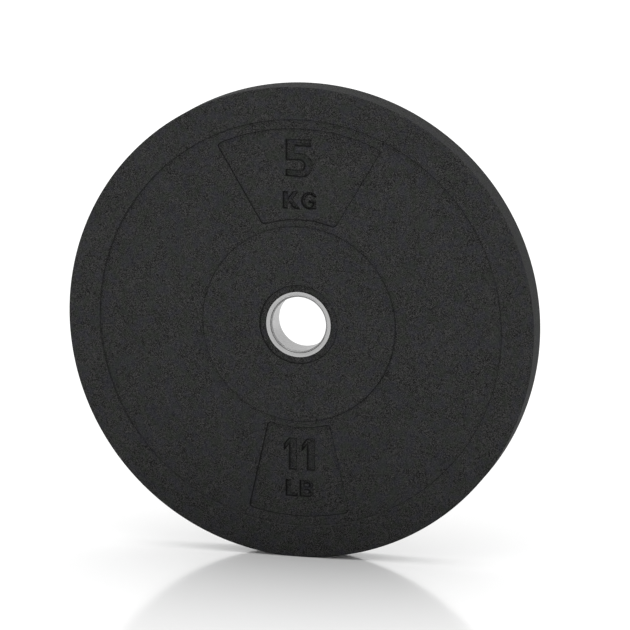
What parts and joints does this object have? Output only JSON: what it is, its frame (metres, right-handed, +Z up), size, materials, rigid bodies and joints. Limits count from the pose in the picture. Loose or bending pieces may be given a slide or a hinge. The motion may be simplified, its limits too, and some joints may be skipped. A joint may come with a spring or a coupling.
{
  "type": "bumper plate",
  "caption": "Round crumb rubber weight plate with a steel bore sleeve, for loading on a barbell and dropping.",
  "frame": {"origin": "on the bore's axis, half-way through the plate's thickness", "axes": "+Y along the bore towards the back face, +Z up through the weight panel, the front face looks towards -Y"},
  "size_m": [0.45, 0.0316, 0.45],
  "materials": {
    "crumb_rubber": "dark grey bonded crumb rubber, matt and finely speckled",
    "turned_steel": "pale turned stainless steel, satin",
    "mill_steel": "plain mill-finish steel, dull"
  },
  "bodies": {
    "root": {"rubber_disc": "crumb_rubber", "bore_sleeve": "turned_steel", "anchor_flange": "mill_steel"}
  },
  "joints": []
}
